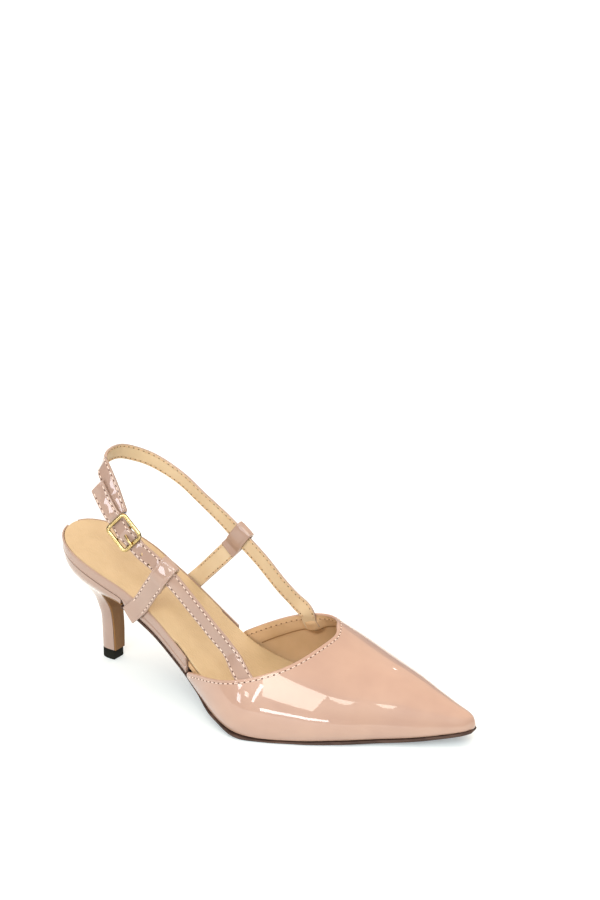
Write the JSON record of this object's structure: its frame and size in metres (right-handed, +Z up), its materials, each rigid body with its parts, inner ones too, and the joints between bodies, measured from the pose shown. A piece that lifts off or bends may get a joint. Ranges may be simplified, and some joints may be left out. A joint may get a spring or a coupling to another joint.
{
  "type": "slingback pump",
  "caption": "Right slingback pump with a pointed closed toe, slim flared heel, fixed ankle strap held by side loops, and a square pin buckle.",
  "frame": {"origin": "middle of the heel tip's floor face", "axes": "+X from the heel to the toe, along the foot; +Y to the foot's inner side; +Z up from the floor"},
  "size_m": [0.2403, 0.091, 0.1215],
  "materials": {
    "patent": "gloss",
    "lining": "matte",
    "sole": "satin",
    "breast_wrap": "satin",
    "heel_tip": "matte",
    "buckle": "gloss",
    "elastic": "matte"
  },
  "bodies": {
    "root": {"outsole": "sole", "heel": "patent", "heel_breast": "breast_wrap", "heel_tip": "heel_tip", "insole_board": "patent", "sock_lining": "lining", "vamp": "patent", "front_strap": "patent", "back_strap": "patent", "elastic": "elastic", "buckle_frame": "buckle", "buckle_prong": "buckle", "outer_loop": "patent", "inner_loop": "patent"}
  },
  "joints": []
}
